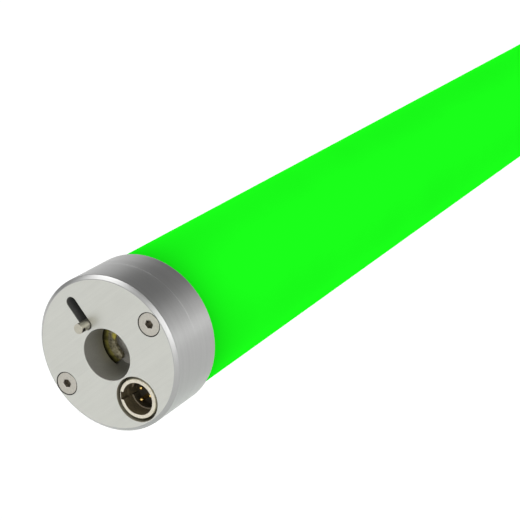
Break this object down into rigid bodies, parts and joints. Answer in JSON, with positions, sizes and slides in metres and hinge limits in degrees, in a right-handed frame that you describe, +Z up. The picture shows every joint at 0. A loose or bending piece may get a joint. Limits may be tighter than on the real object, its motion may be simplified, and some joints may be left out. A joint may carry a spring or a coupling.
{
  "type": "led tube light",
  "caption": "Round tube light with a lit opal diffuser between machined aluminium end caps, one with a spring latch for a hanging spigot and a small inlet socket.",
  "frame": {"origin": "centre of the spigot bore in the face of the front end cap", "axes": "+X along the tube from the front cap to the rear cap, +Z up, with the latch slot leaning 40 degrees from +Z towards +Y"},
  "size_m": [0.5034, 0.04, 0.04],
  "materials": {
    "cap_face": "fine brushed",
    "cap_side": "fine turned",
    "screw_steel": "satin",
    "seal_rubber": "matt",
    "yellow_zinc": "yellow zinc plated",
    "pin_steel": "polished",
    "spring_steel": "bright drawn",
    "nickel": "nickel plated",
    "insulator_black": "moulded",
    "contact_gold": "gold plated",
    "spine_aluminium": "extruded",
    "lit_diffuser": "opal, lit green",
    "board_green": "solder mask",
    "terminal_green": "moulded",
    "part_black": "moulded",
    "wire_red": "insulated wire",
    "wire_black": "insulated wire",
    "wire_white": "insulated wire",
    "strip_white": "solder mask",
    "chip_lens": "resin lens"
  },
  "bodies": {
    "root": {"front_plate": "cap_face", "front_collar": "cap_side", "front_cap_screws": "screw_steel", "front_seal_ring": "seal_rubber", "latch_spring_left": "spring_steel", "latch_spring_right": "spring_steel", "socket_shell": "nickel", "socket_insulator": "insulator_black", "socket_contacts": "contact_gold", "socket_nut": "nickel", "front_spider": "spine_aluminium", "front_spider_screws": "screw_steel", "front_spine_screws": "screw_steel", "diffuser_tube": "lit_diffuser", "led_spine": "spine_aluminium", "driver_board": "board_green", "driver_terminal": "terminal_green", "driver_capacitor": "part_black", "driver_chips": "part_black", "supply_wire_red": "wire_red", "supply_wire_black": "wire_black", "data_wire_white": "wire_white", "strip_leads": "wire_white", "rear_plate": "cap_face", "rear_collar": "cap_side", "rear_cap_screws": "screw_steel", "rear_seal_ring": "seal_rubber", "rear_spine_screws": "screw_steel", "led_strip_1": "strip_white", "led_chips_1": "chip_lens", "led_strip_2": "strip_white", "led_chips_2": "chip_lens", "led_strip_3": "strip_white", "led_chips_3": "chip_lens", "led_strip_4": "strip_white", "led_chips_4": "chip_lens"},
    "latch": {"latch_fork": "yellow_zinc", "latch_pin": "pin_steel"}
  },
  "joints": [
    {"name": "latch_slide", "type": "slide", "parent": "root", "child": "latch", "axis": [0, 0.6428, 0.766], "range_m": [0, 0.0063], "stiffness_N_per_m": 950, "springref_m": -0.003, "deforming": ["latch_spring_left", "latch_spring_right"]}
  ]
}
